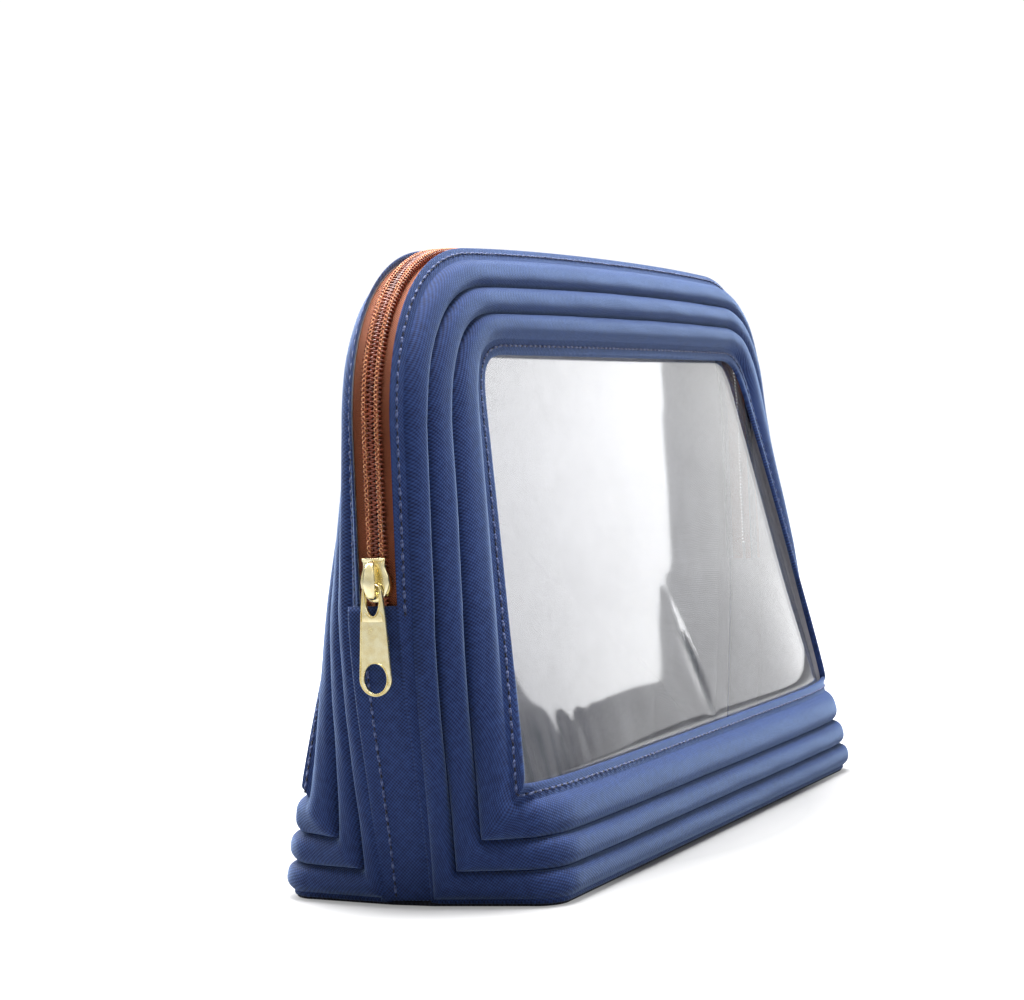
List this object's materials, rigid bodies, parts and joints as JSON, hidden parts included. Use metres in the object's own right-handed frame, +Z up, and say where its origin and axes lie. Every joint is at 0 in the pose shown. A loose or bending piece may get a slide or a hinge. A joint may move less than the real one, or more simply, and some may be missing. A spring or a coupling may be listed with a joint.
{
  "type": "travel jewelry case",
  "caption": "Padded ribbed travel jewelry case on a flat base, with a clear front window, a coil zip over the top and sides and a metal slider with a hanging pull tab.",
  "frame": {"origin": "centre of the underside of the base, on the surface the case stands on", "axes": "+X along the case's length, the clear window faces -Y, +Z up to the zip ridge; the slider is on the -X end"},
  "size_m": [0.2901, 0.0798, 0.1637],
  "materials": {
    "navy_twill": "matt woven twill over foam",
    "grey_lining": "smooth lining cloth",
    "clear_vinyl": "clear glossy flexible sheet",
    "base_fabric": "matt woven",
    "stiffener": "plain board",
    "zip_tape": "woven herringbone tape",
    "zip_coil": "satin nylon coil",
    "binding_fabric": "folded cloth strip",
    "pale_brass": "polished pale gold plating"
  },
  "bodies": {
    "case": {"rear_shell": "navy_twill", "rear_lining": "grey_lining", "front_shell_lower": "navy_twill", "front_fold": "navy_twill", "window_lower": "clear_vinyl", "window_fold": "clear_vinyl", "gusset_left": "navy_twill", "gusset_right": "navy_twill", "base_cover": "base_fabric", "base_board": "stiffener", "base_lining": "grey_lining", "zip_tape_rear": "zip_tape", "zip_coil_rear": "zip_coil", "seam_binding_rear": "binding_fabric", "zip_stops": "pale_brass"},
    "front_flap": {"front_shell_upper": "navy_twill", "window_upper": "clear_vinyl", "zip_tape_front": "zip_tape", "zip_coil_front": "zip_coil", "seam_binding_front": "binding_fabric"},
    "slider": {"slider_body": "pale_brass", "slider_crown": "pale_brass"},
    "pull": {"pull_tab": "pale_brass"}
  },
  "joints": [
    {"name": "front_open", "type": "hinge", "parent": "case", "child": "front_flap", "pos_m": [0, -0.0055, 0.074], "axis": [1, 0, 0], "range_deg": [0, 25], "deforming": ["front_fold", "window_fold", "zip_tape_front", "zip_coil_front", "seam_binding_front"]},
    {"name": "slider_slide", "type": "slide", "parent": "case", "child": "slider", "axis": [0, 0, 1], "range_m": [0, 0.02]},
    {"name": "pull_swing", "type": "hinge", "parent": "slider", "child": "pull", "pos_m": [-0.14525, 0, 0.0795], "axis": [0, 1, 0], "range_deg": [0, 150]}
  ]
}
